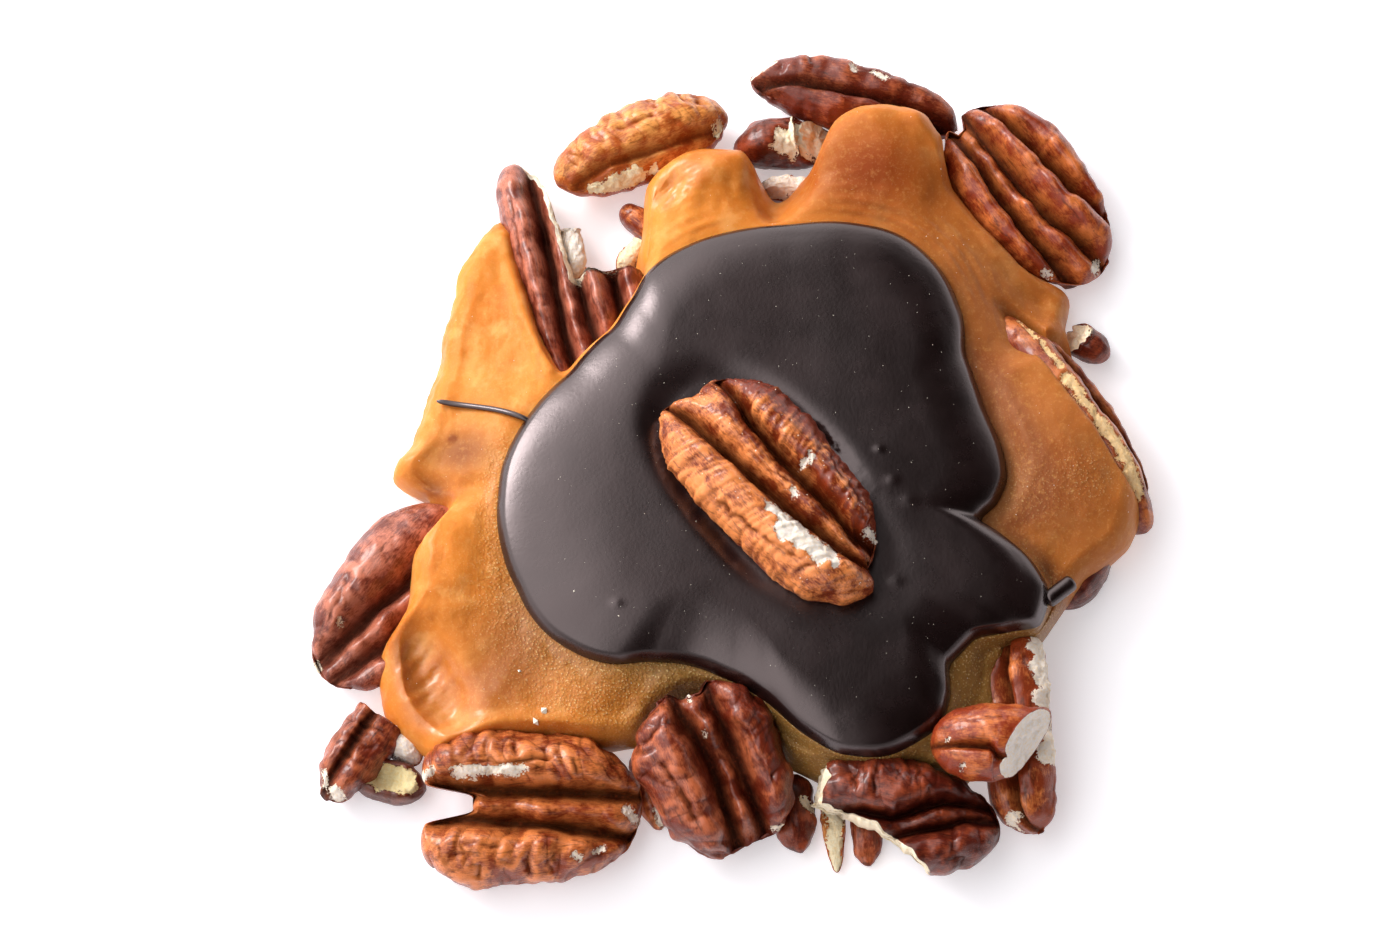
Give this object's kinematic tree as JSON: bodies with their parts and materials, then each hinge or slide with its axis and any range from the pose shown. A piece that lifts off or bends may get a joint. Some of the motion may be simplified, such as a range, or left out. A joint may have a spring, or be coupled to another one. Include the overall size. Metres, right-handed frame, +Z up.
{
  "type": "pecan caramel patty with dark chocolate",
  "caption": "Flat round confection: pecan halves and broken pieces held in a slab of soft caramel, with a puddle of dark chocolate on top and a pecan half pressed into it.",
  "frame": {"origin": "on the caramel's flat underside, about under the middle of the patty", "axes": "+Z up through the chocolate, +X to the right and +Y away from the viewer in the reference view, the underside at z = 0"},
  "size_m": [0.0933, 0.0975, 0.0194],
  "materials": {
    "caramel": "soft glossy caramel, grainy in places",
    "chocolate": "satin dark chocolate",
    "pecan": "wrinkled pecan skin, slightly oily",
    "pecan_pale": "matte broken pecan flesh"
  },
  "bodies": {
    "root": {"caramel": "caramel", "chocolate": "chocolate", "pecan_centre": "pecan", "pecan_front_left": "pecan", "pecan_front_middle": "pecan", "pecan_front_right": "pecan", "pecan_chunk": "pecan", "pecan_right_front": "pecan", "pecan_right": "pecan", "pecan_right_low": "pecan", "pecan_right_bit": "pecan", "pecan_back_right": "pecan", "pecan_back": "pecan", "pecan_back_chunk": "pecan", "pecan_back_shard": "pecan_pale", "pecan_back_left": "pecan", "pecan_left_back": "pecan", "pecan_left_front": "pecan", "pecan_corner": "pecan", "pecan_bit_back": "pecan", "pecan_bit_pale": "pecan_pale", "pecan_bit_front": "pecan", "pecan_bit_dark": "pecan", "pecan_bit_shard": "pecan_pale", "pecan_bit_last": "pecan"}
  },
  "joints": []
}
